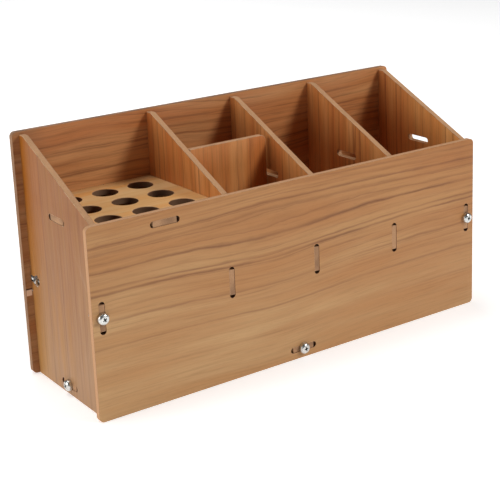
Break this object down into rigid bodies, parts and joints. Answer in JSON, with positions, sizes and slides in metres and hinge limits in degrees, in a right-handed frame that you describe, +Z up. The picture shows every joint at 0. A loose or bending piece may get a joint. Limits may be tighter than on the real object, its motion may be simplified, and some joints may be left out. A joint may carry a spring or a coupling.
{
  "type": "tool storage caddy",
  "caption": "Bench-top tool caddy of thin tabbed and screwed boards: open bays with sloped walls, a holed tool shelf and a low front.",
  "frame": {"origin": "middle of the footprint, on the surface that the caddy stands on", "axes": "+X along the width, to the right seen from the front; +Y from the low front panel to the tall back panel; +Z up"},
  "size_m": [0.23, 0.0768, 0.122],
  "materials": {
    "panel_board": "satin wood-grain face, grain along the panel, pale cut edges",
    "wall_board": "satin wood-grain face, upright grain, pale cut edges",
    "floor_board": "satin wood-grain face, pale cut edges",
    "shelf_board": "satin wood-grain face, darker walls in the holes",
    "screw_steel": "bright zinc plate",
    "nut_steel": "bright zinc plate"
  },
  "bodies": {
    "root": {"front_panel": "panel_board", "back_panel": "panel_board", "side_left": "wall_board", "side_right": "wall_board", "divider_left": "wall_board", "divider_middle": "wall_board", "divider_right": "wall_board", "cross_divider": "wall_board", "bottom_panel": "floor_board", "tool_shelf": "shelf_board", "screw_front_left": "screw_steel", "screw_front_right": "screw_steel", "screw_front_bottom": "screw_steel", "screw_side_left": "screw_steel", "screw_side_right": "screw_steel", "screw_back_left": "screw_steel", "screw_back_right": "screw_steel", "screw_back_bottom": "screw_steel", "nut_front_left": "nut_steel", "nut_front_right": "nut_steel", "nut_front_bottom": "nut_steel", "nut_side_left": "nut_steel", "nut_side_right": "nut_steel", "nut_back_left": "nut_steel", "nut_back_right": "nut_steel", "nut_back_bottom": "nut_steel"}
  },
  "joints": []
}
